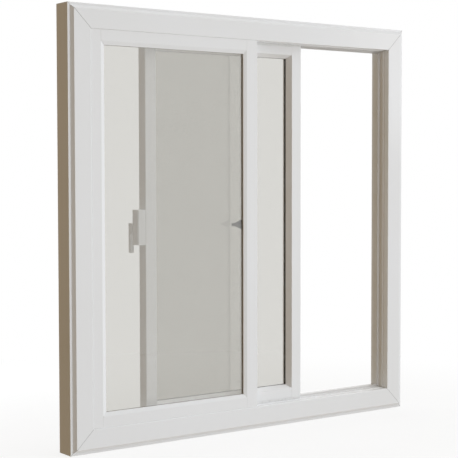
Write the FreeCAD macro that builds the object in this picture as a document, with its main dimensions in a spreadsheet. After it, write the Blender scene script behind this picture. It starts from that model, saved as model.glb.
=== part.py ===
import FreeCAD, Part
import os
import re
import Sketcher

# Two-light horizontal sliding window, millimetres.
# X runs along the sill, Y from the outside to the room, Z up.
# The origin is the middle of the underside of the sill.

DRIVING = [
    # Outer frame
    ("width", 1200, "frame width"),
    ("height", 1200, "frame height"),
    ("frame_face", 66.3, "outer edge to the daylight edge at the front"),
    ("lip_width", 7, "flat lip round the outer edge"),
    ("bevel_width", 7.8, "bevel between the lip and the front face"),
    ("face_step", 9, "front face proud of the lip"),
    ("edge_break", 1.5, "chamfer on the inner arris of the frame and on the sash"),
    ("channel_drop", 2, "front flange to the floor of the sash channel"),
    ("rear_lip", 7.5, "level strip behind the sash channel"),
    ("rear_lip_rise", 4, "rise of the sloped floor from the rib to that strip"),
    ("rib_width", 3, "thickness of the track rib"),
    ("rib_bite", 2, "track rib inside the groove of the sash"),
    # Space between the lights and round the sash
    ("track_gap", 5, "back of the fixed light to the front of the sash"),
    ("running_gap", 5, "sash to the frame on every side"),
    ("shoe_gap", 0.3, "glide shoe to the top of the track rib"),
    ("shoe_side_gap", 0.8, "cheeks of a shoe to the sides of the track rib"),
    # Fixed light
    ("meeting_edge", 17.7, "meeting edge of the fixed light, right of centre"),
    ("fixed_depth", 18.5, "face of the frame to the back of the fixed light"),
    ("fixed_face", 30.1, "flat face of its jamb stile and rails"),
    ("meeting_face", 37.5, "flat face of its meeting stile"),
    ("fixed_bevel", 10.8, "width of its glazing bevel"),
    ("fixed_bevel_drop", 3.4, "depth of its glazing bevel"),
    ("fixed_rebate", 3.4, "straight side between its glazing bevel and its gasket"),
    ("fixed_seal", 1.6, "gasket in front of its pane"),
    # Sliding sash
    ("sash_open", 327.2, "distance of the sash from closed"),
    ("meeting_lap", 44.1, "sash behind the fixed light when closed"),
    ("sash_depth", 33, "thickness of the sash"),
    ("stile_face", 35, "flat face of its stiles"),
    ("top_face", 25.8, "flat face of its top rail"),
    ("bottom_face", 29.4, "flat face of its bottom rail"),
    ("sash_bevel", 10.5, "width of its glazing bevel"),
    ("sash_bevel_drop", 16.5, "depth of its glazing bevel"),
    ("sash_rebate", 1, "straight side between its glazing bevel and its gasket"),
    ("sash_seal", 3, "gasket in front of its pane"),
    # Glazing
    ("pane", 4, "thickness of the glass"),
    ("glass_bite", 10, "depth of the glazing groove"),
    ("seal_wall", 2, "gasket behind the pane and round its edge"),
    # Glide and guide shoes
    ("shoe_length", 60, "length of a shoe"),
    ("shoe_inset", 45, "end of a rail to the near end of a shoe"),
    ("shoe_skirt", 1.5, "cheek of a shoe below the top of the rib"),
    # Latch
    ("latch_height", 602, "middle of the latch above the base"),
    ("case_width", 25, "latch case beyond the sash"),
    ("case_depth", 30.6, "latch case from front to back"),
    ("case_height", 97, "height of the latch case"),
    ("case_corner", 3, "chamfer of the latch case"),
    ("spindle_radius", 4, "radius of the spindle"),
    ("spindle_gap", 0.3, "spindle to its bore"),
    ("spindle_bite", 12, "depth of the bore for the spindle"),
    ("lever_gap", 5, "latch case to the hub of the lever"),
    ("lever_width", 12, "width of the lever"),
    ("lever_inset", 2.5, "outer side of the case to the lever"),
    ("hub_depth", 19.5, "lever at its hub from front to back"),
    ("hub_rise", 10.6, "lever above the spindle axis"),
    ("hub_drop", 14, "hub below the spindle axis"),
    ("tail_depth", 10.8, "lever at its tail from front to back"),
    ("tail_length", 72, "lever below the spindle axis"),
    ("lever_round", 2.5, "rounding of the lever"),
    ("keeper_reach", 33.5, "keeper beyond the meeting stile"),
    ("keeper_base", 27.6, "keeper at the stile"),
    ("keeper_tip", 8.6, "keeper at its tip"),
    ("keeper_plate", 3.5, "thickness of the keeper"),
]

DERIVED = [
    ("depth_total", "fixed_depth + track_gap + sash_depth + running_gap + rear_lip"),
    ("front_y", "-(depth_total + face_step) / 2"),
    ("lip_y", "front_y + face_step"),
    ("back_y", "front_y + depth_total"),
    ("fixed_front", "front_y + edge_break"),
    ("fixed_back", "front_y + fixed_depth"),
    ("flange_back", "fixed_back + track_gap / 2"),
    ("sash_front", "fixed_back + track_gap"),
    ("sash_back", "sash_front + sash_depth"),
    ("rear_lip_front", "sash_back + running_gap"),
    ("rib_y", "sash_front + sash_depth / 2"),
    ("channel_inset", "frame_face + channel_drop"),
    ("rear_lip_inset", "channel_inset + rear_lip_rise"),
    ("sash_inset", "channel_inset + running_gap"),
    ("rib_inset", "sash_inset + rib_bite"),
    ("groove_depth", "rib_bite + running_gap"),
    ("groove_half", "rib_width / 2 + running_gap"),
    ("fixed_left", "frame_face - width / 2"),
    ("fixed_width", "meeting_edge - fixed_left"),
    ("fixed_height", "height - 2 * frame_face"),
    ("fixed_groove", "fixed_front + fixed_bevel_drop + fixed_rebate"),
    ("fixed_glass_y", "fixed_groove + fixed_seal"),
    ("fixed_groove_back", "fixed_glass_y + pane + seal_wall"),
    ("sash_width", "width / 2 - sash_inset - meeting_edge + meeting_lap"),
    ("sash_height", "height - 2 * sash_inset"),
    ("sash_right", "width / 2 - sash_inset - sash_open"),
    ("sash_left", "sash_right - sash_width"),
    ("sash_groove", "sash_front + sash_bevel_drop + sash_rebate"),
    ("sash_glass_y", "sash_groove + sash_seal"),
    ("sash_groove_back", "sash_glass_y + pane + seal_wall"),
    ("pane_bite", "glass_bite - seal_wall"),
    ("case_back", "sash_front + case_depth"),
    ("lever_front", "case_back + lever_gap"),
    ("spindle_x", "sash_left - case_width + lever_inset + lever_width / 2"),
]

# Points nearer than this lie on one face.
TOUCH = 0.01

document = FreeCAD.newDocument("SlidingWindow")
sheet = document.addObject("Spreadsheet::Sheet", "Sizes")
pieces = []


def fill_sheet():
    for row, (alias, number, meaning) in enumerate(DRIVING, 1):
        sheet.set(f"A{row}", meaning)
        sheet.set(f"B{row}", str(number))
        sheet.setAlias(f"B{row}", alias)
    for row, (alias, formula) in enumerate(DERIVED, len(DRIVING) + 1):
        sheet.set(f"B{row}", "=" + formula)
        sheet.setAlias(f"B{row}", alias)
    document.recompute()


def linked(formula):
    """The formula with every size read from the sheet."""
    return re.sub(r"[a-z_]+", r"Sizes.\g<0>", formula)


def value(formula):
    return float(sheet.evalExpression(formula))


def bind(item, **formulas):
    for name, formula in formulas.items():
        item.setExpression(name, linked(formula))


def place(item, x, y, z, turn=0):
    """Moves a piece to its corner, turned about the Y axis."""
    item.Placement = FreeCAD.Placement(
        FreeCAD.Vector(), FreeCAD.Rotation(FreeCAD.Vector(0, 1, 0), turn))
    for axis, formula in zip("xyz", (x, y, z)):
        item.setExpression(f"Placement.Base.{axis}", linked(formula))


def new_body(label):
    body = document.addObject("PartDesign::Body", label)
    pieces.append(body)
    return body


def outline(body, name, role, corners):
    """A closed sketch of straight sides on one of the body's origin planes."""
    sketch = body.newObject("Sketcher::SketchObject", name)
    plane = next(item for item in body.Origin.OriginFeatures if item.Role == role)
    sketch.AttachmentSupport = [(plane, "")]
    sketch.MapMode = "FlatFace"
    spots = [FreeCAD.Vector(value(a), value(b), 0) for a, b in corners]
    count = len(spots)
    for index in range(count):
        sketch.addGeometry(Part.LineSegment(spots[index], spots[(index + 1) % count]), False)
    for index in range(count):
        sketch.addConstraint(
            Sketcher.Constraint("Coincident", index, 2, (index + 1) % count, 1))
    for index, corner in enumerate(corners):
        for kind, formula in zip(("DistanceX", "DistanceY"), corner):
            datum = sketch.addConstraint(
                Sketcher.Constraint(kind, -1, 1, index, 1, value(formula)))
            sketch.setExpression(f"Constraints[{datum}]", linked(formula))
    return sketch


def pad(body, profile, length, both_ways=False):
    feature = body.newObject("PartDesign::Pad", profile.Name + "_pad")
    feature.Profile = profile
    feature.SideType = "Symmetric" if both_ways else "One side"
    bind(feature, Length=length)
    return feature


def cut_through(body, profile):
    feature = body.newObject("PartDesign::Pocket", profile.Name + "_cut")
    feature.Profile = profile
    feature.Type = "ThroughAll"
    feature.SideType = "Symmetric"
    return feature


def box(name, x, y, z):
    """A box between three pairs of lowest and highest places."""
    item = document.addObject("Part::Box", name)
    bind(item, Length=f"{x[1]} - ({x[0]})", Width=f"{y[1]} - ({y[0]})",
         Height=f"{z[1]} - ({z[0]})")
    place(item, x[0], y[0], z[0])
    return item


def cut_from(label, base, tool):
    item = document.addObject("Part::Cut", label)
    item.Base = base
    item.Tool = tool
    return item


# Outer frame: one moulded section, mitred at the four corners.
# Local x runs inwards from the outer edge, local z along the member.

FRAME_SECTION = [
    ("0", "lip_y"),
    ("lip_width", "lip_y"),
    ("lip_width + bevel_width", "front_y"),
    ("frame_face - edge_break", "front_y"),
    ("frame_face", "front_y + edge_break"),
    ("frame_face", "flange_back"),
    ("channel_inset", "flange_back"),
    ("channel_inset", "rib_y - rib_width / 2"),
    ("rib_inset", "rib_y - rib_width / 2"),
    ("rib_inset", "rib_y + rib_width / 2"),
    ("channel_inset", "rib_y + rib_width / 2"),
    ("rear_lip_inset", "rear_lip_front"),
    ("rear_lip_inset", "back_y"),
    ("0", "back_y"),
]


def frame_member(label, length, x, z, turn):
    body = new_body(label)
    pad(body, outline(body, label + "_section", "XY_Plane", FRAME_SECTION), length)
    mitres = {"near": ("0", "rib_inset"), "far": (length, f"{length} - rib_inset")}
    for end, (outer, inner) in mitres.items():
        corners = [("0", outer), ("rib_inset", outer), ("rib_inset", inner)]
        cut_through(body, outline(body, f"{label}_{end}_mitre", "XZ_Plane", corners))
    place(body, x, "0", z, turn)


def outer_frame():
    frame_member("frame_left_jamb", "height", "-width / 2", "0", 0)
    frame_member("frame_right_jamb", "height", "width / 2", "height", 180)
    frame_member("frame_sill", "width", "width / 2", "0", -90)
    frame_member("frame_head", "width", "-width / 2", "height", 90)


# Lights: stiles run the full height, rails butt against their flat faces,
# and the glazing bevels meet in a mitre.

RIB_GROOVE = [
    ("0", "rib_y + groove_half"),
    ("groove_depth", "rib_y + groove_half"),
    ("groove_depth", "rib_y - groove_half"),
    ("0", "rib_y - groove_half"),
]


def light_section(light, front, back, face, grooved):
    """A stile or rail: flat face, glazing bevel, glazing groove, plain back.

    The fixed light sits at the foot of the frame's chamfer, so only the sash has its own.
    """
    edge = f"{face} + {light}_bevel"
    eased = [("0", f"{front} + edge_break"), ("edge_break", front)]
    corners = (eased if light == "sash" else [("0", front)]) + [
        (face, front),
        (edge, f"{front} + {light}_bevel_drop"),
        (edge, f"{light}_groove"),
        (f"{edge} - glass_bite", f"{light}_groove"),
        (f"{edge} - glass_bite", f"{light}_groove_back"),
        (edge, f"{light}_groove_back"),
        (edge, f"{back} - edge_break"),
        (f"{edge} - edge_break", back),
        ("0", back),
    ]
    return corners + RIB_GROOVE if grooved else corners


def stile(label, light, section, face, length, near_rail, far_rail):
    """A stile cut back at both ends to let the rails and their bevels in."""
    body = new_body(label)
    pad(body, outline(body, label + "_section", "XY_Plane", section), length)
    side = f"{face} + {light}_bevel"
    ends = {
        "near": ("0", near_rail, f"{near_rail} + {light}_bevel"),
        "far": (length, f"{length} - {far_rail}", f"{length} - {far_rail} - {light}_bevel"),
    }
    for end, (outer, corner, inner) in ends.items():
        corners = [(face, outer), (face, corner), (side, inner), (side, outer)]
        cut_through(body, outline(body, f"{label}_{end}_cope", "XZ_Plane", corners))
    return body


def rail(label, light, section, face, length):
    """A rail with square ends on its face and mitred ends on its bevel."""
    body = new_body(label)
    pad(body, outline(body, label + "_section", "XY_Plane", section), length)
    side = f"{face} + {light}_bevel"
    ends = {
        "near": ("0", f"{light}_bevel"),
        "far": (length, f"{length} - {light}_bevel"),
    }
    for end, (outer, inner) in ends.items():
        corners = [(face, outer), (side, outer), (side, inner)]
        cut_through(body, outline(body, f"{label}_{end}_mitre", "XZ_Plane", corners))
    return body


def track_notches(body, length):
    """Lets the ends of a sash stile pass over the track ribs."""
    ends = {"near": ("0", "groove_depth"), "far": (length, f"{length} - groove_depth")}
    low = "rib_y - groove_half"
    high = "rib_y + groove_half"
    for end, (outer, inner) in ends.items():
        corners = [(low, outer), (high, outer), (high, inner), (low, inner)]
        cut_through(body, outline(body, f"{body.Label}_{end}_notch", "YZ_Plane", corners))


def glazing(light, left, right, low, high):
    """The pane, and the channel gasket wrapped round its edge."""
    def grown(by):
        return (f"{left} - {by}", f"{right} + {by}"), (f"{low} - {by}", f"{high} + {by}")

    pane_y = (f"{light}_glass_y", f"{light}_glass_y + pane")
    groove_y = (f"{light}_groove", f"{light}_groove_back")
    across, upright = grown("pane_bite")
    pieces.append(box(f"{light}_glass", across, pane_y, upright))
    core = box(f"{light}_gasket_core", across, pane_y, upright)
    across, upright = grown("glass_bite")
    block = box(f"{light}_gasket_block", across, groove_y, upright)
    across, upright = grown("0")
    daylight = box(f"{light}_gasket_daylight", across, groove_y, upright)
    ring = cut_from(f"{light}_gasket_ring", block, daylight)
    pieces.append(cut_from(f"{light}_gasket", ring, core))


def fixed_light():
    narrow = light_section("fixed", "fixed_front", "fixed_back", "fixed_face", False)
    wide = light_section("fixed", "fixed_front", "fixed_back", "meeting_face", False)
    top = "height - frame_face"
    place(stile("fixed_jamb_stile", "fixed", narrow, "fixed_face", "fixed_height",
                "fixed_face", "fixed_face"), "fixed_left", "0", "frame_face")
    place(stile("fixed_meeting_stile", "fixed", wide, "meeting_face", "fixed_height",
                "fixed_face", "fixed_face"), "meeting_edge", "0", top, 180)
    span = "fixed_width - fixed_face - meeting_face"
    place(rail("fixed_bottom_rail", "fixed", narrow, "fixed_face", span),
          "meeting_edge - meeting_face", "0", "frame_face", -90)
    place(rail("fixed_top_rail", "fixed", narrow, "fixed_face", span),
          "fixed_left + fixed_face", "0", top, 90)
    rim = "fixed_face + fixed_bevel"
    glazing("fixed", f"fixed_left + {rim}", "meeting_edge - meeting_face - fixed_bevel",
            f"frame_face + {rim}", f"{top} - ({rim})")


def sliding_sash():
    plain = light_section("sash", "sash_front", "sash_back", "stile_face", False)
    grooved = light_section("sash", "sash_front", "sash_back", "stile_face", True)
    lower = light_section("sash", "sash_front", "sash_back", "bottom_face", True)
    upper = light_section("sash", "sash_front", "sash_back", "top_face", True)
    top = "height - sash_inset"
    lock_stile = stile("sash_lock_stile", "sash", plain, "stile_face", "sash_height",
                       "bottom_face", "top_face")
    closing_stile = stile("sash_closing_stile", "sash", grooved, "stile_face",
                          "sash_height", "top_face", "bottom_face")
    track_notches(lock_stile, "sash_height")
    track_notches(closing_stile, "sash_height")
    place(lock_stile, "sash_left", "0", "sash_inset")
    place(closing_stile, "sash_right", "0", top, 180)
    span = "sash_width - 2 * stile_face"
    place(rail("sash_bottom_rail", "sash", lower, "bottom_face", span),
          "sash_right - stile_face", "0", "sash_inset", -90)
    place(rail("sash_top_rail", "sash", upper, "top_face", span),
          "sash_left + stile_face", "0", top, 90)
    rim = "stile_face + sash_bevel"
    glazing("sash", f"sash_left + {rim}", f"sash_right - ({rim})",
            "sash_inset + bottom_face + sash_bevel", f"{top} - top_face - sash_bevel")


# Shoes: they fill the groove of the sash rail and straddle the track rib.

SHOE_SECTION = [
    ("groove_depth", "rib_y - groove_half"),
    ("groove_depth", "rib_y + groove_half"),
    ("rib_bite - shoe_skirt", "rib_y + groove_half"),
    ("rib_bite - shoe_skirt", "rib_y + rib_width / 2 + shoe_side_gap"),
    ("rib_bite + shoe_gap", "rib_y + rib_width / 2 + shoe_side_gap"),
    ("rib_bite + shoe_gap", "rib_y - rib_width / 2 - shoe_side_gap"),
    ("rib_bite - shoe_skirt", "rib_y - rib_width / 2 - shoe_side_gap"),
    ("rib_bite - shoe_skirt", "rib_y - groove_half"),
]


def shoes():
    near = "sash_left + stile_face + shoe_inset"
    far = "sash_right - stile_face - shoe_inset"
    top = "height - sash_inset"
    seats = [
        ("glide_shoe_left", f"{near} + shoe_length", "sash_inset", -90),
        ("glide_shoe_right", far, "sash_inset", -90),
        ("guide_shoe_left", near, top, 90),
        ("guide_shoe_right", f"{far} - shoe_length", top, 90),
    ]
    for label, x, z, turn in seats:
        body = new_body(label)
        pad(body, outline(body, label + "_section", "XY_Plane", SHOE_SECTION), "shoe_length")
        place(body, x, "0", z, turn)


# Latch: a case on the lock stile, a lever on the room side, a keeper on the meeting stile.

def latch_case():
    body = new_body("latch_case_blank")
    corners = [
        ("0", "0"),
        ("case_corner - case_width", "0"),
        ("-case_width", "case_corner"),
        ("-case_width", "case_depth - case_corner"),
        ("case_corner - case_width", "case_depth"),
        ("0", "case_depth"),
    ]
    plan = outline(body, "latch_case_plan", "XY_Plane", corners)
    pad(body, plan, "case_height", both_ways=True)
    place(body, "sash_left", "sash_front", "latch_height")
    bore = document.addObject("Part::Cylinder", "latch_case_bore")
    bind(bore, Radius="spindle_radius + spindle_gap", Height="spindle_bite")
    lay_along_y(bore, "spindle_x", "case_back - spindle_bite", "latch_height")
    pieces[-1] = cut_from("latch_case", body, bore)


def lay_along_y(item, x, y, z):
    """Stands a cylinder on the given spot with its axis along Y."""
    item.Placement = FreeCAD.Placement(
        FreeCAD.Vector(), FreeCAD.Rotation(FreeCAD.Vector(1, 0, 0), -90))
    for axis, formula in zip("xyz", (x, y, z)):
        item.setExpression(f"Placement.Base.{axis}", linked(formula))


def latch_spindle():
    spindle = document.addObject("Part::Cylinder", "latch_spindle")
    bind(spindle, Radius="spindle_radius",
         Height="spindle_bite - spindle_gap + lever_gap")
    lay_along_y(spindle, "spindle_x", "case_back - spindle_bite + spindle_gap", "latch_height")
    pieces.append(spindle)


def latch_lever():
    """A deep hub on the spindle that steps down to a thin tail."""
    body = new_body("latch_lever")
    step = "hub_depth - tail_depth"
    corners = [
        ("0", "hub_rise"),
        ("hub_depth", "hub_rise"),
        ("hub_depth", "-tail_length"),
        (step, "-tail_length"),
        (step, f"-hub_drop - ({step})"),
        ("0", "-hub_drop"),
    ]
    side = outline(body, "latch_lever_side", "YZ_Plane", corners)
    bar = pad(body, side, "lever_width", both_ways=True)
    document.recompute()
    back = value("hub_depth")
    arrises = [
        f"Edge{number}" for number, edge in enumerate(bar.Shape.Edges, 1)
        if edge.BoundBox.YMin > back - TOUCH
    ]
    rounding = body.newObject("PartDesign::Fillet", "latch_lever_rounding")
    rounding.Base = (bar, arrises)
    bind(rounding, Radius="lever_round")
    place(body, "spindle_x", "lever_front", "latch_height")


def latch_keeper():
    """A wedge on the side of the meeting stile, pointing at the latch."""
    body = new_body("latch_keeper")
    corners = [
        ("0", "-keeper_base / 2"),
        ("0", "keeper_base / 2"),
        ("-keeper_reach", "keeper_tip / 2"),
        ("-keeper_reach", "-keeper_tip / 2"),
    ]
    pad(body, outline(body, "latch_keeper_front", "XZ_Plane", corners), "keeper_plate")
    place(body, "meeting_edge - meeting_face - fixed_bevel", "fixed_back", "latch_height")


def check():
    """Stops if any feature failed or any piece is not one sound solid."""
    document.recompute()
    for item in document.Objects:
        if "Invalid" in item.State or "Error" in item.State:
            raise RuntimeError(f"{item.Label} did not build")
    for item in pieces:
        if item.Shape.isNull() or not item.Shape.isValid() or len(item.Shape.Solids) != 1:
            raise RuntimeError(f"{item.Label} is not one sound solid")


def write():
    os.makedirs("parts", exist_ok=True)
    for item in pieces:
        item.Shape.exportStep(f"parts/{item.Label}.step")


fill_sheet()
outer_frame()
fixed_light()
sliding_sash()
shoes()
latch_case()
latch_spindle()
latch_lever()
latch_keeper()
check()
write()
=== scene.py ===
import math

import bmesh
import bpy
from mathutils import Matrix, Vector


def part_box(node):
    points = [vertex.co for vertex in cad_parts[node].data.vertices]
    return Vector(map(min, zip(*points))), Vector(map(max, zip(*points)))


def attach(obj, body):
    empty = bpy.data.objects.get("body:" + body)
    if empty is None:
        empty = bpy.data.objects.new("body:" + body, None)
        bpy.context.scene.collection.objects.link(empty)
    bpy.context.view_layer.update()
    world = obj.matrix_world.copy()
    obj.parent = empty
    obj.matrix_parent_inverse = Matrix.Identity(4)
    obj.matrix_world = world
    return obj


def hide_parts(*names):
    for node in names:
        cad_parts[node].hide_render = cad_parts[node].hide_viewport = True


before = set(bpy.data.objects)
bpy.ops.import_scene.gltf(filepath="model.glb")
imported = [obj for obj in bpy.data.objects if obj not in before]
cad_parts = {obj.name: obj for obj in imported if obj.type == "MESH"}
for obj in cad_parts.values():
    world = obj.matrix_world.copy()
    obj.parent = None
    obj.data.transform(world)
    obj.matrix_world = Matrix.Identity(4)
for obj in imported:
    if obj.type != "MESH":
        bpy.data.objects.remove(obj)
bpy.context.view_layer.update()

scene = bpy.context.scene
scene.view_settings.view_transform = "Standard"

WINDOW_FRAME = "window_frame"
SLIDING_SASH = "sliding_sash"
LATCH_HANDLE = "latch_handle"

# Sizes in metres

MM = 0.001
HALF_HEIGHT = 0.6            # middle of the window above its base
WELD = 0.002 * MM            # corners nearer than this become one

PROFILE_ROUND = 0.5 * MM     # rounding of the profile arrises
SHOE_ROUND = 0.3 * MM
LATCH_ROUND = 0.8 * MM
SPINDLE_ROUND = 0.3 * MM
KEEPER_ROUND = 0.4 * MM
PANE_GRIND = 0.5 * MM        # ground edge of the panes

SEAM_CORE = 0.4 * MM         # full line of a mitre joint, either side
SEAM_EDGE = 1.3 * MM         # where that line has faded out
RIB_REACH = 531.6 * MM       # middle of the window to the foot of the track rib
RIB_START = 0.8 * MM         # rise of the rib over which its painted shade sets in
RIB_MIDDLE = 1 * MM          # the rib's place in depth
RIB_HALF = 1.8 * MM
RIB_FADE = 0.6 * MM          # width over which the painted shade fades beside the rib

NOSE_LENGTH = 9.7 * MM       # square nose of the keeper
NOSE_HALF = 4.8 * MM
NOSE_WAIST = 0.6 * MM        # the nose is slimmer by this, each side, where the flanks meet it

PANE_BITE = 8 * MM           # pane edge inside the glazing groove
GASKET_COVER = 9 * MM        # gasket lip hidden in the groove
FIXED_LIP_REACH = 1.6 * MM   # gasket lip that shows past the fixed light's bevel
SASH_LIP_REACH = 1.3 * MM    # the same on the sash
LIP_CLEARANCE = 0.05 * MM

RUNNING_GAP = 5 * MM         # sash to the channel floor
WIPER_GAP = 0.1 * MM         # wiper strip to the channel floor
WIPER_THICK = 1.6 * MM
WIPER_SET = 0.4 * MM         # wiper strip behind the face of the sash
WIPER_ROOT = 0.5 * MM        # wiper strip inside the sash
WIPER_END = 1 * MM           # side of the sash to the end of the strip

PILE_INSET = 10 * MM         # meeting edge to the middle of the pile
PILE_END = 4 * MM            # end of the stile to the end of the backing
PILE_WIDTH = 5 * MM
PILE_BACKING = 0.9 * MM
TUFT_COUNT = 900
TUFT_THICK = 1.1 * MM
TUFT_END = 1 * MM            # end of the backing to the first tuft
TUFT_SHORT = 1 * MM          # tip of a tuft to the sash
TUFT_SPREAD = 0.3            # share of the pile's width that a tuft strays, either way
TUFT_SHIFT = 0.3 * MM        # how far it strays along the stile
TUFT_SEED = 7

SCREW_RISE = 1.1 * MM
CASE_SCREW_RADIUS = 2.8 * MM
CASE_SCREW_SIDE = 5.5 * MM   # right side of the case to its screws
CASE_SCREW_END = 11 * MM     # ends of the case to its screws
KEEPER_SCREW_RADIUS = 2.2 * MM
KEEPER_SCREW_SIDE = 7 * MM   # meeting stile to the keeper's screws
KEEPER_SCREW_OUT = 6 * MM    # middle of the keeper to each screw

# The collar's section: out from the spindle's axis, and up from the case
COLLAR_SECTION = (
    (4.4 * MM, 0.0 * MM),
    (7.4 * MM, 0.0 * MM),
    (7.4 * MM, 0.7 * MM),
    (7.0 * MM, 1.2 * MM),
    (4.8 * MM, 1.2 * MM),
    (4.4 * MM, 0.9 * MM),
)
COLLAR_STEPS = 48

# Angles in degrees

PROFILE_EDGE = 10            # sharper arrises are rounded; the fixed light's glazing bevel turns 17
CURVED_EDGE = 30             # the same on pieces with round sides
FLAT_TURN = 0.5              # faces that turn less are one flat face
SEAL_CREASE = 35             # sharper edges of a seal show as a crease
SCREW_CREASE = 25

# Angles in radians

QUARTER_TURN = math.pi / 2
TUFT_LEAN = 0.12             # how far a tuft leans, either way
SLOT_TURN = 0.4              # how the first slot of a screw stands

# Shares of a piece's own size

CORNER_SHARE = 0.3           # corner radius of a seal, of its thinner side
TUFT_TIP = 0.3               # radius of a tuft, of its thickness
TUFT_FOOT = 0.5
SCREW_TOP = 0.72             # flat of a screw head, of its radius
SLOT_WIDTH = 0.26            # slot of a screw head, of its radius


# Small helpers for node trees

PLAIN_WHITE = (1.0, 1.0, 1.0, 1.0)
NOISE_LOW = 0.3              # most of a noise lies between these
NOISE_HIGH = 0.7
FIRST_COLOUR = 6             # sockets of a Mix node that hold colours
SECOND_COLOUR = 7
MIXED_COLOUR = 2


def feed(tree, node, values):
    """Gives a node's named or numbered inputs plain values, or links sockets to them."""
    for key, given in values.items():
        if isinstance(given, bpy.types.NodeSocket):
            tree.links.new(given, node.inputs[key])
        else:
            node.inputs[key].default_value = given


def add_node(tree, kind, values=None, **settings):
    """A node with its properties set and its inputs fed."""
    node = tree.nodes.new(kind)
    for name, setting in settings.items():
        setattr(node, name, setting)
    feed(tree, node, values or {})
    return node


def new_material(name):
    """An empty material with a Principled shader, its tree and the shader."""
    material = bpy.data.materials.new(name)
    material.use_nodes = True
    tree = material.node_tree
    return material, tree, tree.nodes["Principled BSDF"]


def own_place(tree):
    """The object's own coordinates."""
    return add_node(tree, "ShaderNodeTexCoord").outputs["Object"]


def stretched_noise(tree, scale, detail=3.0):
    """Noise on the object's own coordinates, with its scale per metre along x, y and z."""
    mapping = add_node(tree, "ShaderNodeMapping", {"Vector": own_place(tree), "Scale": scale})
    noise = add_node(tree, "ShaderNodeTexNoise", {
        "Vector": mapping.outputs["Vector"],
        "Scale": 1.0,
        "Detail": detail,
        "Roughness": 0.55,
    })
    return noise.outputs["Fac"]


def ranged(tree, source, low, high, start=NOISE_LOW, stop=NOISE_HIGH, way="LINEAR"):
    """Maps the span start to stop of a value onto low to high."""
    node = add_node(tree, "ShaderNodeMapRange", {
        "Value": source,
        "From Min": start,
        "From Max": stop,
        "To Min": low,
        "To Max": high,
    }, interpolation_type=way)
    return node.outputs["Result"]


def blended(tree, amount, first, second, way="MIX"):
    """A colour blended from two colours or colour sockets."""
    node = add_node(tree, "ShaderNodeMix", {"Factor": amount}, data_type="RGBA", blend_type=way)
    for key, colour in ((FIRST_COLOUR, first), (SECOND_COLOUR, second)):
        linked = isinstance(colour, bpy.types.NodeSocket)
        feed(tree, node, {key: colour if linked else (*colour, 1.0)})
    return node.outputs[MIXED_COLOUR]


def maths(tree, operation, first, second=0.0):
    """A Math node on sockets or plain numbers."""
    node = add_node(tree, "ShaderNodeMath", {0: first, 1: second}, operation=operation)
    return node.outputs["Value"]


def mixed(tree, amount, first, second):
    """A shader that goes from the first to the second as the amount goes from nought to one."""
    node = add_node(tree, "ShaderNodeMixShader", {"Fac": amount, 1: first, 2: second})
    return node.outputs["Shader"]


def bumped(tree, shader, height, strength, depth):
    """Raises the shader's surface by a height socket."""
    bump = add_node(tree, "ShaderNodeBump",
                    {"Strength": strength, "Distance": depth, "Height": height})
    feed(tree, shader, {"Normal": bump.outputs["Normal"]})


def grained(tree, shader, fineness, strength, depth, detail=3.0):
    """Raises an even grain on the shader's surface."""
    bumped(tree, shader, stretched_noise(tree, (fineness,) * 3, detail), strength, depth)


def weathered(tree, shader, patches, fresh, worn, dullness, start=NOISE_LOW, stop=NOISE_HIGH):
    """Colours a surface from fresh to worn in patches, and dulls it from low to high."""
    share = ranged(tree, patches, 0.0, 1.0, start, stop)
    feed(tree, shader, {
        "Base Color": blended(tree, share, fresh, worn),
        "Roughness": ranged(tree, patches, *dullness),
    })


# Materials

PROFILE_WHITE = (0.82, 0.82, 0.82)
PROFILE_CREAM = (0.81, 0.807, 0.797)
SEAM_GREY = (0.48, 0.475, 0.46)
RIB_SHADE_GREY = (0.69, 0.675, 0.655)    # painted shade on the rib of the sill and jambs
HEAD_RIB_SHADE_GREY = (0.52, 0.5, 0.478)      # darker painted shade on the rib of the head, which the guide shoes rub
DRAWN_ALONG = 12.0                   # noise of the draw lines, per metre
DRAWN_ACROSS = 900.0


def frame_place(tree):
    """Distances from the middle of the window, sideways and upright, and the depth."""
    axes = add_node(tree, "ShaderNodeSeparateXYZ", {"Vector": own_place(tree)}).outputs
    sideways = maths(tree, "ABSOLUTE", axes["X"])
    upright = maths(tree, "ABSOLUTE", maths(tree, "SUBTRACT", axes["Z"], HALF_HEIGHT))
    return sideways, upright, axes["Y"]


def mitre_seam(tree):
    """One in the fine joint where two members of the outer frame meet, nought elsewhere."""
    sideways, upright, _ = frame_place(tree)
    apart = maths(tree, "ABSOLUTE", maths(tree, "SUBTRACT", sideways, upright))
    return ranged(tree, apart, 1.0, 0.0, SEAM_CORE, SEAM_EDGE)


def rib_painted_shade(tree):
    """Painted shade on the rib that the sash runs on: one there, nought elsewhere."""
    sideways, upright, depth = frame_place(tree)
    reach = maths(tree, "MAXIMUM", sideways, upright)
    proud = ranged(tree, reach, 1.0, 0.0, RIB_REACH - RIB_START, RIB_REACH)
    aside = maths(tree, "ABSOLUTE", maths(tree, "SUBTRACT", depth, RIB_MIDDLE))
    near = ranged(tree, aside, 1.0, 0.0, RIB_HALF, RIB_HALF + RIB_FADE)
    return maths(tree, "MULTIPLY", proud, near)


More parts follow.
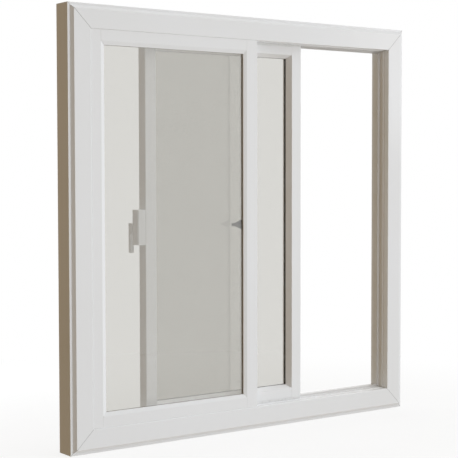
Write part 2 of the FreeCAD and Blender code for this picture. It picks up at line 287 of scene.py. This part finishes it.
def white_profile(name, along, rib=None):
    """Extruded white plastic: faint draw lines along the member, uneven gloss, a clean tint.

    A member of the outer frame has mitred ends and painted shade on its rib, in the grey that is given.
    """
    material, tree, shader = new_material(name)
    drawn = [DRAWN_ALONG if axis == along else DRAWN_ACROSS for axis in "xyz"]
    lines = stretched_noise(tree, drawn, detail=2.0)
    smears = stretched_noise(tree, (9.0, 9.0, 9.0), detail=4.0)
    tint = stretched_noise(tree, (3.1, 3.1, 3.1))
    colour = blended(tree, ranged(tree, tint, 0.0, 1.0), PROFILE_WHITE, PROFILE_CREAM)
    if rib:
        # painted shade: the rib is darkened to the given grey
        colour = blended(tree, rib_painted_shade(tree), colour, rib)
        colour = blended(tree, mitre_seam(tree), colour, SEAM_GREY)
    dullness = maths(tree, "ADD", ranged(tree, smears, low=0.14, high=0.2),
                     ranged(tree, lines, low=0.0, high=0.03))
    feed(tree, shader, {"Base Color": colour, "Roughness": dullness, "Specular IOR Level": 0.4})
    bumped(tree, shader, lines, strength=0.03, depth=0.1 * MM)
    return material


GLASS_TINT = (0.63, 0.621, 0.587, 1.0)


def float_glass():
    """Pale coated glass that lets light through to what is behind it, with a trace of dust."""
    material, tree, shader = new_material("float_glass")
    dust = stretched_noise(tree, (14.0, 14.0, 5.0), detail=5.0)
    feed(tree, shader, {
        "Base Color": GLASS_TINT,
        "Transmission Weight": 1.0,
        "IOR": 1.5,
        "Coat Weight": 1.0,
        "Coat IOR": 2.0,
        "Coat Roughness": 0.0,
        "Roughness": ranged(tree, dust, low=0.0, high=0.012, start=0.45, stop=0.8),
    })
    ripple = stretched_noise(tree, (2.5, 2.5, 1.2), detail=1.0)
    bumped(tree, shader, ripple, strength=0.1, depth=2.0 * MM)
    rays = add_node(tree, "ShaderNodeLightPath").outputs
    clear = add_node(tree, "ShaderNodeBsdfTransparent", {"Color": PLAIN_WHITE}).outputs["BSDF"]
    surface = mixed(tree, rays["Is Diffuse Ray"], shader.outputs["BSDF"], clear)
    surface = mixed(tree, rays["Is Shadow Ray"], surface, clear)
    feed(tree, tree.nodes["Material Output"], {"Surface": surface})
    return material


def gasket_rubber(name, clean, dusty):
    """Moulded rubber with a matt bloom and dust lying on it."""
    material, tree, shader = new_material(name)
    dust = stretched_noise(tree, (120.0, 120.0, 40.0), detail=5.0)
    weathered(tree, shader, dust, fresh=clean, worn=dusty, dullness=(0.5, 0.75),
              start=0.45, stop=0.75)
    grained(tree, shader, fineness=1500.0, strength=0.2, depth=0.1 * MM)
    return material


def shoe_nylon():
    """Natural nylon, slightly worn, with a moulded grain."""
    material, tree, shader = new_material("shoe_nylon")
    wear = stretched_noise(tree, (60.0, 200.0, 200.0), detail=4.0)
    weathered(tree, shader, wear, fresh=(0.72, 0.71, 0.66), worn=(0.58, 0.57, 0.52),
              dullness=(0.35, 0.55))
    grained(tree, shader, fineness=1200.0, strength=0.15, depth=0.1 * MM)
    return material


def latch_paint():
    """White powder paint with a fine orange-peel and rubbed patches."""
    material, tree, shader = new_material("latch_paint")
    rubbed = stretched_noise(tree, (45.0, 45.0, 45.0), detail=4.0)
    weathered(tree, shader, rubbed, fresh=(0.80, 0.80, 0.795), worn=(0.75, 0.745, 0.73),
              dullness=(0.28, 0.42))
    grained(tree, shader, fineness=700.0, strength=0.15, depth=0.15 * MM, detail=2.0)
    return material


def plated_steel():
    """Dull plated steel with turning marks."""
    material, tree, shader = new_material("plated_steel")
    feed(tree, shader, {"Metallic": 1.0})
    marks = stretched_noise(tree, (300.0, 3000.0, 300.0))
    weathered(tree, shader, marks, fresh=(0.42, 0.41, 0.39), worn=(0.30, 0.29, 0.27),
              dullness=(0.28, 0.48))
    bumped(tree, shader, marks, strength=0.15, depth=0.05 * MM)
    return material


def keeper_paint():
    """Dark paint on the keeper, worn pale in patches."""
    material, tree, shader = new_material("keeper_paint")
    rubbed = stretched_noise(tree, (220.0, 220.0, 60.0), detail=5.0)
    weathered(tree, shader, rubbed, fresh=(0.045, 0.042, 0.034), worn=(0.10, 0.095, 0.08),
              dullness=(0.35, 0.6), start=0.5, stop=0.8)
    grained(tree, shader, fineness=900.0, strength=0.2, depth=0.1 * MM)
    return material


# Pieces made from the nodes of the model

def finished_copy(node, name, body, material, rounding, edge=CURVED_EDGE, segments=2, mesh=None):
    """A copy of a node, or a given mesh, with its arrises rounded, standing for that node.

    Edges that turn more than the edge angle are rounded, and faces stay flat between them.
    """
    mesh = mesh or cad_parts[node].data.copy()
    mesh.name = name
    shape = bmesh.new()
    shape.from_mesh(mesh)
    bmesh.ops.remove_doubles(shape, verts=shape.verts, dist=WELD)
    bmesh.ops.dissolve_limit(shape, angle_limit=math.radians(FLAT_TURN),
                             verts=shape.verts, edges=shape.edges)
    shape.to_mesh(mesh)
    shape.free()
    mesh.materials.clear()
    mesh.materials.append(material)
    mesh.shade_smooth()
    piece = bpy.data.objects.new(name, mesh)
    scene.collection.objects.link(piece)
    bevel = piece.modifiers.new("rounded arrises", "BEVEL")
    bevel.width = rounding
    bevel.segments = segments
    bevel.limit_method = "ANGLE"
    bevel.angle_limit = math.radians(edge)
    bevel.use_clamp_overlap = True
    level = piece.modifiers.new("level faces", "WEIGHTED_NORMAL")
    level.weight = 100
    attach(piece, body)
    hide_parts(node)
    return piece


def profiles():
    """The members of the frame and of the two lights."""
    head = white_profile("head_white_level", "x", HEAD_RIB_SHADE_GREY)
    sill = white_profile("frame_white_level", "x", RIB_SHADE_GREY)
    jamb = white_profile("frame_white_upright", "z", RIB_SHADE_GREY)
    rail = white_profile("light_white_level", "x")
    stile = white_profile("light_white_upright", "z")
    members = (
        (WINDOW_FRAME, head, ("frame_head",)),
        (WINDOW_FRAME, sill, ("frame_sill",)),
        (WINDOW_FRAME, jamb, ("frame_left_jamb", "frame_right_jamb")),
        (WINDOW_FRAME, rail, ("fixed_top_rail", "fixed_bottom_rail")),
        (WINDOW_FRAME, stile, ("fixed_jamb_stile", "fixed_meeting_stile")),
        (SLIDING_SASH, rail, ("sash_top_rail", "sash_bottom_rail")),
        (SLIDING_SASH, stile, ("sash_lock_stile", "sash_closing_stile")),
    )
    for body, white, nodes in members:
        for node in nodes:
            finished_copy(node, node + "_profile", body, white,
                          PROFILE_ROUND, PROFILE_EDGE)


def keeper_shape():
    """The keeper's plate: straight flanks that run in to a short square nose."""
    low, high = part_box("latch_keeper")
    middle = (low.z + high.z) / 2
    flank = (
        (high.x, high.z - middle),
        (low.x + NOSE_LENGTH, NOSE_HALF - NOSE_WAIST),
        (low.x, NOSE_HALF),
    )
    outline = [(x, middle + up) for x, up in flank] + [(x, middle - up) for x, up in reversed(flank)]
    shape = bmesh.new()
    front = shape.faces.new([shape.verts.new((x, low.y, z)) for x, z in outline])
    grown = bmesh.ops.extrude_face_region(shape, geom=[front])["geom"]
    corners = [part for part in grown if isinstance(part, bmesh.types.BMVert)]
    bmesh.ops.translate(shape, verts=corners, vec=(0.0, high.y - low.y, 0.0))
    bmesh.ops.recalc_face_normals(shape, faces=shape.faces)
    mesh = bpy.data.meshes.new("keeper_shape")
    shape.to_mesh(mesh)
    shape.free()
    return mesh


def hardware(steel, paint):
    """Shoes, latch and keeper."""
    nylon = shoe_nylon()
    for node in ("glide_shoe_left", "glide_shoe_right", "guide_shoe_left", "guide_shoe_right"):
        finished_copy(node, node + "_moulding", SLIDING_SASH, nylon, SHOE_ROUND)
    finished_copy("latch_case", "latch_case_cover", SLIDING_SASH, paint,
                  LATCH_ROUND, segments=3)
    finished_copy("latch_lever", "latch_lever_grip", LATCH_HANDLE, paint,
                  LATCH_ROUND, segments=3)
    finished_copy("latch_spindle", "latch_spindle_pin", LATCH_HANDLE, steel, SPINDLE_ROUND)
    finished_copy("latch_keeper", "latch_keeper_wedge", WINDOW_FRAME, keeper_paint(),
                  KEEPER_ROUND, mesh=keeper_shape())


def panes():
    """The two sheets of glass, with their edges ground."""
    glass = float_glass()
    for light, body in (("fixed", WINDOW_FRAME), ("sash", SLIDING_SASH)):
        pane = finished_copy(f"{light}_glass", f"{light}_pane", body, glass,
                             PANE_GRIND, segments=1)
        pane.modifiers.remove(pane.modifiers["level faces"])
        pane.data.shade_flat()


# Pieces grown by node trees: what follows a path or repeats

def begun_tree(name, sockets):
    """An empty tree with named inputs: the tree, its input sockets and their values."""
    tree = bpy.data.node_groups.new(name, "GeometryNodeTree")
    inputs = {}
    for label, kind in sockets.items():
        inputs[label] = tree.interface.new_socket(label, in_out="INPUT", socket_type="NodeSocket" + kind)
    tree.interface.new_socket("Geometry", in_out="OUTPUT", socket_type="NodeSocketGeometry")
    return tree, inputs, tree.nodes.new("NodeGroupInput").outputs


def ended_tree(tree, geometry, material):
    """Closes a tree with real geometry and its material."""
    realized = add_node(tree, "GeometryNodeRealizeInstances", {"Geometry": geometry})
    finish = add_node(tree, "GeometryNodeSetMaterial",
                      {"Geometry": realized.outputs["Geometry"], "Material": material})
    add_node(tree, "NodeGroupOutput", {"Geometry": finish.outputs["Geometry"]})


def rounded_section(tree, width, height, thinner):
    """A rectangle with rounded corners to sweep along a path."""
    section = add_node(tree, "GeometryNodeCurvePrimitiveQuadrilateral",
                       {"Width": width, "Height": height})
    rounded = add_node(tree, "GeometryNodeFilletCurve", {
        "Curve": section.outputs["Curve"],
        "Count": 3,
        "Radius": maths(tree, "MULTIPLY", thinner, CORNER_SHARE),
    }, mode="POLY")
    return rounded.outputs["Curve"]


def point_row(tree, count, start, end):
    """Points set evenly from start to end."""
    row = add_node(tree, "GeometryNodeMeshLine",
                   {"Count": count, "Start Location": start, "Offset": end}, mode="END_POINTS")
    return row.outputs["Mesh"]


def grown_mesh(name, tree, inputs, values):
    """The plain mesh that a node tree makes from the given input values."""
    carrier = bpy.data.objects.new(name, bpy.data.meshes.new(name))
    scene.collection.objects.link(carrier)
    modifier = carrier.modifiers.new(name, "NODES")
    modifier.node_group = tree
    for key, given in values.items():
        modifier[inputs[key].identifier] = given
    ready = carrier.evaluated_get(bpy.context.evaluated_depsgraph_get())
    mesh = bpy.data.meshes.new_from_object(ready)
    bpy.data.objects.remove(carrier)
    return mesh


def joined(name, meshes, body, crease=SEAL_CREASE):
    """One piece from several meshes that share their materials."""
    shape = bmesh.new()
    for mesh in meshes:
        shape.from_mesh(mesh)
    bmesh.ops.recalc_face_normals(shape, faces=shape.faces)
    whole = meshes[0].copy()
    whole.name = name
    shape.to_mesh(whole)
    shape.free()
    whole.shade_smooth()
    whole.set_sharp_from_angle(angle=math.radians(crease))
    piece = bpy.data.objects.new(name, whole)
    scene.collection.objects.link(piece)
    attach(piece, body)
    return piece


# Gaskets: a lip on each side of the pane, swept round the daylight opening

def gasket_tree():
    """Sweeps a rounded lip round an upright rectangle."""
    sizes = ("Opening width", "Opening height", "Lip cover", "Lip reach", "Lip depth")
    sockets = dict.fromkeys(sizes, "Float")
    sockets.update({"Centre": "Vector", "Rubber": "Material"})
    tree, inputs, given = begun_tree("gasket lip", sockets)
    growth = maths(tree, "SUBTRACT", given["Lip cover"], given["Lip reach"])
    path = add_node(tree, "GeometryNodeCurvePrimitiveQuadrilateral", {
        "Width": maths(tree, "ADD", given["Opening width"], growth),
        "Height": maths(tree, "ADD", given["Opening height"], growth),
    })
    lip_width = maths(tree, "ADD", given["Lip cover"], given["Lip reach"])
    section = rounded_section(tree, lip_width, given["Lip depth"], given["Lip depth"])
    sweep = add_node(tree, "GeometryNodeCurveToMesh",
                     {"Curve": path.outputs["Curve"], "Profile Curve": section})
    upright = add_node(tree, "GeometryNodeTransform", {
        "Geometry": sweep.outputs["Mesh"],
        "Translation": given["Centre"],
        "Rotation": (QUARTER_TURN, 0.0, 0.0),
    })
    ended_tree(tree, upright.outputs["Geometry"], given["Rubber"])
    return tree, inputs


def gaskets():
    """The gaskets of the two panes: brown on the fixed light, a painted warm shade with dust on it,
    black on the sash.
    """
    tree, inputs = gasket_tree()
    black = gasket_rubber("black_gasket_rubber",
                          clean=(0.018, 0.017, 0.016), dusty=(0.06, 0.056, 0.05))
    # painted shade: the fixed light's gasket is brown to stand for warm shade on its rebate wall; the
    # dust patches on it are real
    brown = gasket_rubber("dust_and_shade_gasket_rubber",
                          clean=(0.24, 0.215, 0.175), dusty=(0.33, 0.3, 0.245))
    lights = (
        ("fixed", WINDOW_FRAME, FIXED_LIP_REACH, brown),
        ("sash", SLIDING_SASH, SASH_LIP_REACH, black),
    )
    for light, body, reach, rubber in lights:
        pane_low, pane_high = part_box(f"{light}_glass")
        seal_low, seal_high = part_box(f"{light}_gasket")
        width = pane_high.x - pane_low.x - 2 * PANE_BITE
        height = pane_high.z - pane_low.z - 2 * PANE_BITE
        centre = (pane_low + pane_high) / 2
        lips = []
        for near, far in ((seal_low.y, pane_low.y), (pane_high.y, seal_high.y)):
            lips.append(grown_mesh(f"{light}_lip", tree, inputs, {
                "Opening width": width,
                "Opening height": height,
                "Lip cover": GASKET_COVER,
                "Lip reach": reach,
                "Lip depth": far - near - 2 * LIP_CLEARANCE,
                "Centre": (centre.x, (near + far) / 2, centre.z),
                "Rubber": rubber,
            }))
        piece = joined(f"{light}_gasket_lips", lips, body)
        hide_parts(f"{light}_gasket")


# Seals of the sash: wiper strips in the running gap, and a row of pile on the meeting stile

def strip_tree():
    """Sweeps a rounded section along a straight line."""
    tree, inputs, given = begun_tree("strip", {
        "Start": "Vector", "End": "Vector", "Across": "Float", "Along": "Float", "Finish": "Material"})
    path = add_node(tree, "GeometryNodeCurvePrimitiveLine",
                    {"Start": given["Start"], "End": given["End"]})
    thinner = maths(tree, "MINIMUM", given["Across"], given["Along"])
    sweep = add_node(tree, "GeometryNodeCurveToMesh", {
        "Curve": path.outputs["Curve"],
        "Profile Curve": rounded_section(tree, given["Across"], given["Along"], thinner),
        "Fill Caps": True,
    })
    ended_tree(tree, sweep.outputs["Mesh"], given["Finish"])
    return tree, inputs


def wipers():
    """White strips that close the gap between the sash and the frame, below and above."""
    tree, inputs = strip_tree()
    soft_white = gasket_rubber("white_wiper_rubber",
                               clean=(0.76, 0.755, 0.74), dusty=(0.66, 0.655, 0.64))
    low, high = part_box("sash_lock_stile")
    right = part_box("sash_closing_stile")[1].x
    gap = RUNNING_GAP - WIPER_GAP
    out = (gap - WIPER_ROOT) / 2
    y = low.y + WIPER_SET + WIPER_THICK / 2
    for name, z in (("lower", low.z - out), ("upper", high.z + out)):
        strip = grown_mesh(f"{name}_wiper", tree, inputs, {
            "Start": (low.x + WIPER_END, y, z),
            "End": (right - WIPER_END, y, z),
            "Across": WIPER_THICK,
            "Along": gap + WIPER_ROOT,
            "Finish": soft_white,
        })
        joined(f"sash_{name}_wiper", [strip], SLIDING_SASH)


def pile_tree():
    """Sets tapered tufts along a line, each a little out of place."""
    tree, inputs, given = begun_tree("pile", {
        "Start": "Vector", "End": "Vector", "Tufts": "Int", "Length": "Float", "Thickness": "Float",
        "Spread": "Vector", "Seed": "Int", "Finish": "Material"})
    tuft = add_node(tree, "GeometryNodeMeshCone", {
        "Vertices": 5,
        "Side Segments": 1,
        "Radius Top": maths(tree, "MULTIPLY", given["Thickness"], TUFT_TIP),
        "Radius Bottom": maths(tree, "MULTIPLY", given["Thickness"], TUFT_FOOT),
        "Depth": given["Length"],
    })
    back = add_node(tree, "ShaderNodeVectorMath", {0: given["Spread"], "Scale": -1.0}, operation="SCALE")
    shift = add_node(tree, "FunctionNodeRandomValue",
                     {"Min": back.outputs["Vector"], "Max": given["Spread"], "Seed": given["Seed"]},
                     data_type="FLOAT_VECTOR")
    scattered = add_node(tree, "GeometryNodeSetPosition", {
        "Geometry": point_row(tree, given["Tufts"], given["Start"], given["End"]),
        "Offset": shift.outputs["Value"],
    })
    lean = add_node(tree, "FunctionNodeRandomValue", {
        "Min": (-QUARTER_TURN - TUFT_LEAN, -TUFT_LEAN, 0.0),
        "Max": (-QUARTER_TURN + TUFT_LEAN, TUFT_LEAN, 0.0),
        "Seed": given["Seed"],
    }, data_type="FLOAT_VECTOR")
    tufts = add_node(tree, "GeometryNodeInstanceOnPoints", {
        "Points": scattered.outputs["Geometry"],
        "Instance": tuft.outputs["Mesh"],
        "Rotation": lean.outputs["Value"],
    })
    ended_tree(tree, tufts.outputs["Instances"], given["Finish"])
    return tree, inputs


def pile_seal():
    """A woven strip with a row of pile between the meeting stile and the sash."""
    pile = gasket_rubber("grey_pile", clean=(0.30, 0.30, 0.29), dusty=(0.42, 0.415, 0.40))
    stile_low, stile_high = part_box("fixed_meeting_stile")
    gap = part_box("sash_lock_stile")[0].y - stile_high.y
    x = stile_high.x - PILE_INSET
    foot = stile_low.z + PILE_END
    top = stile_high.z - PILE_END
    tree, inputs = strip_tree()
    backing = grown_mesh("pile_backing", tree, inputs, {
        "Start": (x, stile_high.y + PILE_BACKING / 2, foot),
        "End": (x, stile_high.y + PILE_BACKING / 2, top),
        "Across": PILE_WIDTH,
        "Along": PILE_BACKING,
        "Finish": pile,
    })
    tree, inputs = pile_tree()
    tufts = grown_mesh("pile_tufts", tree, inputs, {
        "Start": (x, stile_high.y, foot + TUFT_END),
        "End": (x, stile_high.y, top - TUFT_END),
        "Tufts": TUFT_COUNT,
        "Length": gap - TUFT_SHORT,
        "Thickness": TUFT_THICK,
        "Spread": (TUFT_SPREAD * PILE_WIDTH, 0.0, TUFT_SHIFT),
        "Seed": TUFT_SEED,
        "Finish": pile,
    })
    joined("meeting_pile_seal", [backing, tufts], WINDOW_FRAME)


# Screws and collar of the latch

def screw_tree():
    """Sets cross-slotted screw heads along a line, facing the room."""
    tree, inputs, given = begun_tree("screws", {
        "Start": "Vector", "End": "Vector", "Count": "Int", "Radius": "Float", "Rise": "Float",
        "Finish": "Material"})
    head = add_node(tree, "GeometryNodeMeshCone", {
        "Vertices": 28,
        "Radius Top": maths(tree, "MULTIPLY", given["Radius"], SCREW_TOP),
        "Radius Bottom": given["Radius"],
        "Depth": given["Rise"],
    })
    slot_size = add_node(tree, "ShaderNodeCombineXYZ", {
        "X": given["Radius"],
        "Y": maths(tree, "MULTIPLY", given["Radius"], SLOT_WIDTH),
        "Z": given["Rise"],
    })
    slot = add_node(tree, "GeometryNodeMeshCube", {"Size": slot_size.outputs["Vector"]})
    lift = add_node(tree, "ShaderNodeCombineXYZ", {"Z": given["Rise"]})
    cut = head.outputs["Mesh"]
    for turn in (SLOT_TURN, SLOT_TURN + QUARTER_TURN):
        turned = add_node(tree, "GeometryNodeTransform", {
            "Geometry": slot.outputs["Mesh"],
            "Translation": lift.outputs["Vector"],
            "Rotation": (0.0, 0.0, turn),
        })
        carve = add_node(tree, "GeometryNodeMeshBoolean",
                         {"Mesh 1": cut, "Mesh 2": turned.outputs["Geometry"]},
                         operation="DIFFERENCE", solver="EXACT")
        cut = carve.outputs["Mesh"]
    heads = add_node(tree, "GeometryNodeInstanceOnPoints", {
        "Points": point_row(tree, given["Count"], given["Start"], given["End"]),
        "Instance": cut,
        "Rotation": (-QUARTER_TURN, 0.0, 0.0),
    })
    ended_tree(tree, heads.outputs["Instances"], given["Finish"])
    return tree, inputs


def screws(steel):
    """Two screws in the back of the latch case and two in the keeper."""
    tree, inputs = screw_tree()
    case_low, case_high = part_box("latch_case")
    keeper_low, keeper_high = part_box("latch_keeper")
    middle = (keeper_low.z + keeper_high.z) / 2
    rows = (
        ("case_screws", SLIDING_SASH, case_high.x - CASE_SCREW_SIDE, case_high.y,
         case_low.z + CASE_SCREW_END, case_high.z - CASE_SCREW_END, CASE_SCREW_RADIUS),
        ("keeper_screws", WINDOW_FRAME, keeper_high.x - KEEPER_SCREW_SIDE, keeper_high.y,
         middle - KEEPER_SCREW_OUT, middle + KEEPER_SCREW_OUT, KEEPER_SCREW_RADIUS),
    )
    for name, body, x, y, low, high, radius in rows:
        heads = grown_mesh(name, tree, inputs, {
            "Start": (x, y, low),
            "End": (x, y, high),
            "Count": 2,
            "Radius": radius,
            "Rise": SCREW_RISE,
            "Finish": steel,
        })
        joined(name, [heads], body, SCREW_CREASE)


def spindle_collar(paint):
    """A thin collar round the spindle on the back of the latch case."""
    case_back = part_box("latch_case")[1].y
    low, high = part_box("latch_spindle")
    centre = Vector(((low.x + high.x) / 2, case_back, (low.z + high.z) / 2))
    shape = bmesh.new()
    section = [shape.verts.new(centre + Vector((out, up, 0.0))) for out, up in COLLAR_SECTION]
    face = shape.faces.new(section)
    bmesh.ops.spin(shape, geom=[face], cent=centre, axis=(0, 1, 0), dvec=(0, 0, 0),
                   angle=2 * math.pi, steps=COLLAR_STEPS, use_merge=True)
    bmesh.ops.remove_doubles(shape, verts=shape.verts, dist=WELD)
    # The first section stays behind as a face inside the ring, and the ring has only four-sided ones
    inside = [spare for spare in shape.faces if len(spare.verts) == len(COLLAR_SECTION)]
    bmesh.ops.delete(shape, geom=inside, context="FACES_ONLY")
    mesh = bpy.data.meshes.new("latch_collar")
    shape.to_mesh(mesh)
    shape.free()
    mesh.materials.append(paint)
    joined("latch_collar", [mesh], SLIDING_SASH)


# Studio

CAMERA_PLACE = (-2.21085, -2.96216, 0.76002)
CAMERA_TURN = 36.023         # degrees from straight on, towards +X
CAMERA_TILT = -2.684
CAMERA_ROLL = 0.092
FOCAL_PIXELS = 1262.41
PICTURE_PIXELS = 458
SENSOR = 36.0                # millimetres
SIGHT = 100.0                # how far the camera sees


def camera():
    """A camera where the picture was taken from."""
    lens = bpy.data.cameras.new("camera")
    lens.sensor_width = SENSOR
    lens.lens = FOCAL_PIXELS / PICTURE_PIXELS * SENSOR
    lens.clip_end = SIGHT
    viewer = bpy.data.objects.new("camera", lens)
    viewer.location = CAMERA_PLACE
    viewer.rotation_euler = (math.radians(90 + CAMERA_TILT), math.radians(CAMERA_ROLL),
                             math.radians(-CAMERA_TURN))
    scene.collection.objects.link(viewer)
    scene.camera = viewer


def seen_directly(tree):
    """One for rays that show the background: from the camera, off gloss and through glass."""
    rays = add_node(tree, "ShaderNodeLightPath").outputs
    share = maths(tree, "MAXIMUM", rays["Is Camera Ray"], rays["Is Glossy Ray"])
    return maths(tree, "MAXIMUM", share, rays["Is Transmission Ray"])


WARM_SHADE = (0.17, 0.092, 0.0)
SOFT_LIGHT = (               # direction it comes from, sharpness, colour
    ((0.35, -0.45, 0.82), 6.0, (2.18, 2.40, 2.66)),
    ((0.35, -0.50, -0.80), 6.0, (1.72, 1.87, 2.04)),
    ((0.95, -0.30, 0.10), 8.0, (1.10, 1.20, 1.36)),
    ((0.0, -1.0, 0.10), 16.0, (0.78, 0.98, 1.22)),
    ((0.42, 0.87, 0.26), 5.0, (1.75, 1.80, 1.90)),
)


def sky():
    """Soft light from above, below, the right, the front and the room, over a warm shade."""
    world = bpy.data.worlds.new("studio")
    scene.world = world
    world.use_nodes = True
    tree = world.node_tree
    tree.nodes.clear()
    direction = add_node(tree, "ShaderNodeTexCoord").outputs["Generated"]
    light = WARM_SHADE
    for source, sharpness, colour in SOFT_LIGHT:
        toward = add_node(tree, "ShaderNodeVectorMath",
                          {0: direction, 1: Vector(source).normalized()}, operation="DOT_PRODUCT")
        facing = maths(tree, "MAXIMUM", toward.outputs["Value"], 0.0)
        light = blended(tree, maths(tree, "POWER", facing, sharpness), light, colour, "ADD")
    soft = add_node(tree, "ShaderNodeBackground", {"Color": light})
    white = add_node(tree, "ShaderNodeBackground", {"Color": PLAIN_WHITE})
    surface = mixed(tree, seen_directly(tree), soft.outputs["Background"], white.outputs["Background"])
    add_node(tree, "ShaderNodeOutputWorld", {"Surface": surface})


def soft_box(name, place, aim, width, height, power, colour, reflected=True):
    """A studio lamp that lights and may be reflected, but isn't seen itself."""
    lamp = bpy.data.lights.new(name, "AREA")
    lamp.shape = "RECTANGLE"
    lamp.size = width
    lamp.size_y = height
    lamp.energy = power
    lamp.color = colour
    holder = bpy.data.objects.new(name, lamp)
    holder.location = place
    holder.rotation_euler = (Vector(aim) - Vector(place)).to_track_quat("-Z", "Y").to_euler()
    holder.visible_camera = False
    holder.visible_transmission = False
    holder.visible_glossy = reflected
    scene.collection.objects.link(holder)


def lamps():
    """A lamp for the gloss on the front, one for the front and one for the room side."""
    soft_box("gloss_box", place=(3.4, -2.96, 1.6), aim=(3.4, 0.0, 1.6),
             width=0.9, height=1.3, power=10.0, colour=(0.97, 0.98, 1.0))
    soft_box("front_box", place=(0.15, -1.3, 0.6), aim=(0.15, 0.0, 0.6),
             width=0.8, height=1.2, power=1.9, colour=(0.88, 0.94, 1.0), reflected=False)
    soft_box("back_box", place=(-0.3, 1.6, 0.6), aim=(-0.3, 0.0, 0.6),
             width=0.5, height=1.0, power=11.0, colour=(0.80, 0.92, 1.0), reflected=False)


FLOOR_PALE = (0.8, 0.79, 0.77, 1.0)
FLOOR_RADIUS = 3.0
FLOOR_SIDES = 96
FLOOR_DROP = 1 * MM          # floor under the base of the window
FLOOR_WHITE = 0.82           # share of plain white near the window, so that a soft shadow shows
FLOOR_NEAR = 0.5             # inside this the shadow shows the most
FLOOR_FAR = 1.6              # past this the floor is plain white


def pale_floor():
    """A pale floor under the window that fades into the white background.

    It lets the light from below through to the window.
    """
    shape = bmesh.new()
    bmesh.ops.create_circle(shape, cap_ends=True, segments=FLOOR_SIDES, radius=FLOOR_RADIUS)
    mesh = bpy.data.meshes.new("floor")
    shape.to_mesh(mesh)
    shape.free()
    material, tree, shader = new_material("pale_floor")
    feed(tree, shader, {"Base Color": FLOOR_PALE, "Roughness": 0.9, "Specular IOR Level": 0.0})
    white = add_node(tree, "ShaderNodeEmission", {"Color": PLAIN_WHITE}).outputs["Emission"]
    away = add_node(tree, "ShaderNodeVectorMath", {0: own_place(tree)}, operation="LENGTH")
    fade = ranged(tree, away.outputs["Value"], FLOOR_WHITE, 1.0, FLOOR_NEAR, FLOOR_FAR, "SMOOTHSTEP")
    share = maths(tree, "MULTIPLY", fade, seen_directly(tree))
    surface = mixed(tree, share, shader.outputs["BSDF"], white)
    rays = add_node(tree, "ShaderNodeLightPath").outputs
    clear = add_node(tree, "ShaderNodeBsdfTransparent").outputs["BSDF"]
    surface = mixed(tree, rays["Is Diffuse Ray"], surface, clear)
    feed(tree, tree.nodes["Material Output"], {"Surface": surface})
    mesh.materials.append(material)
    floor = bpy.data.objects.new("floor", mesh)
    floor.location.z = -FLOOR_DROP
    scene.collection.objects.link(floor)


steel = plated_steel()
paint = latch_paint()
profiles()
hardware(steel, paint)
panes()
gaskets()
wipers()
pile_seal()
screws(steel)
spindle_collar(paint)
camera()
sky()
lamps()
pale_floor()

bpy.context.view_layer.update()
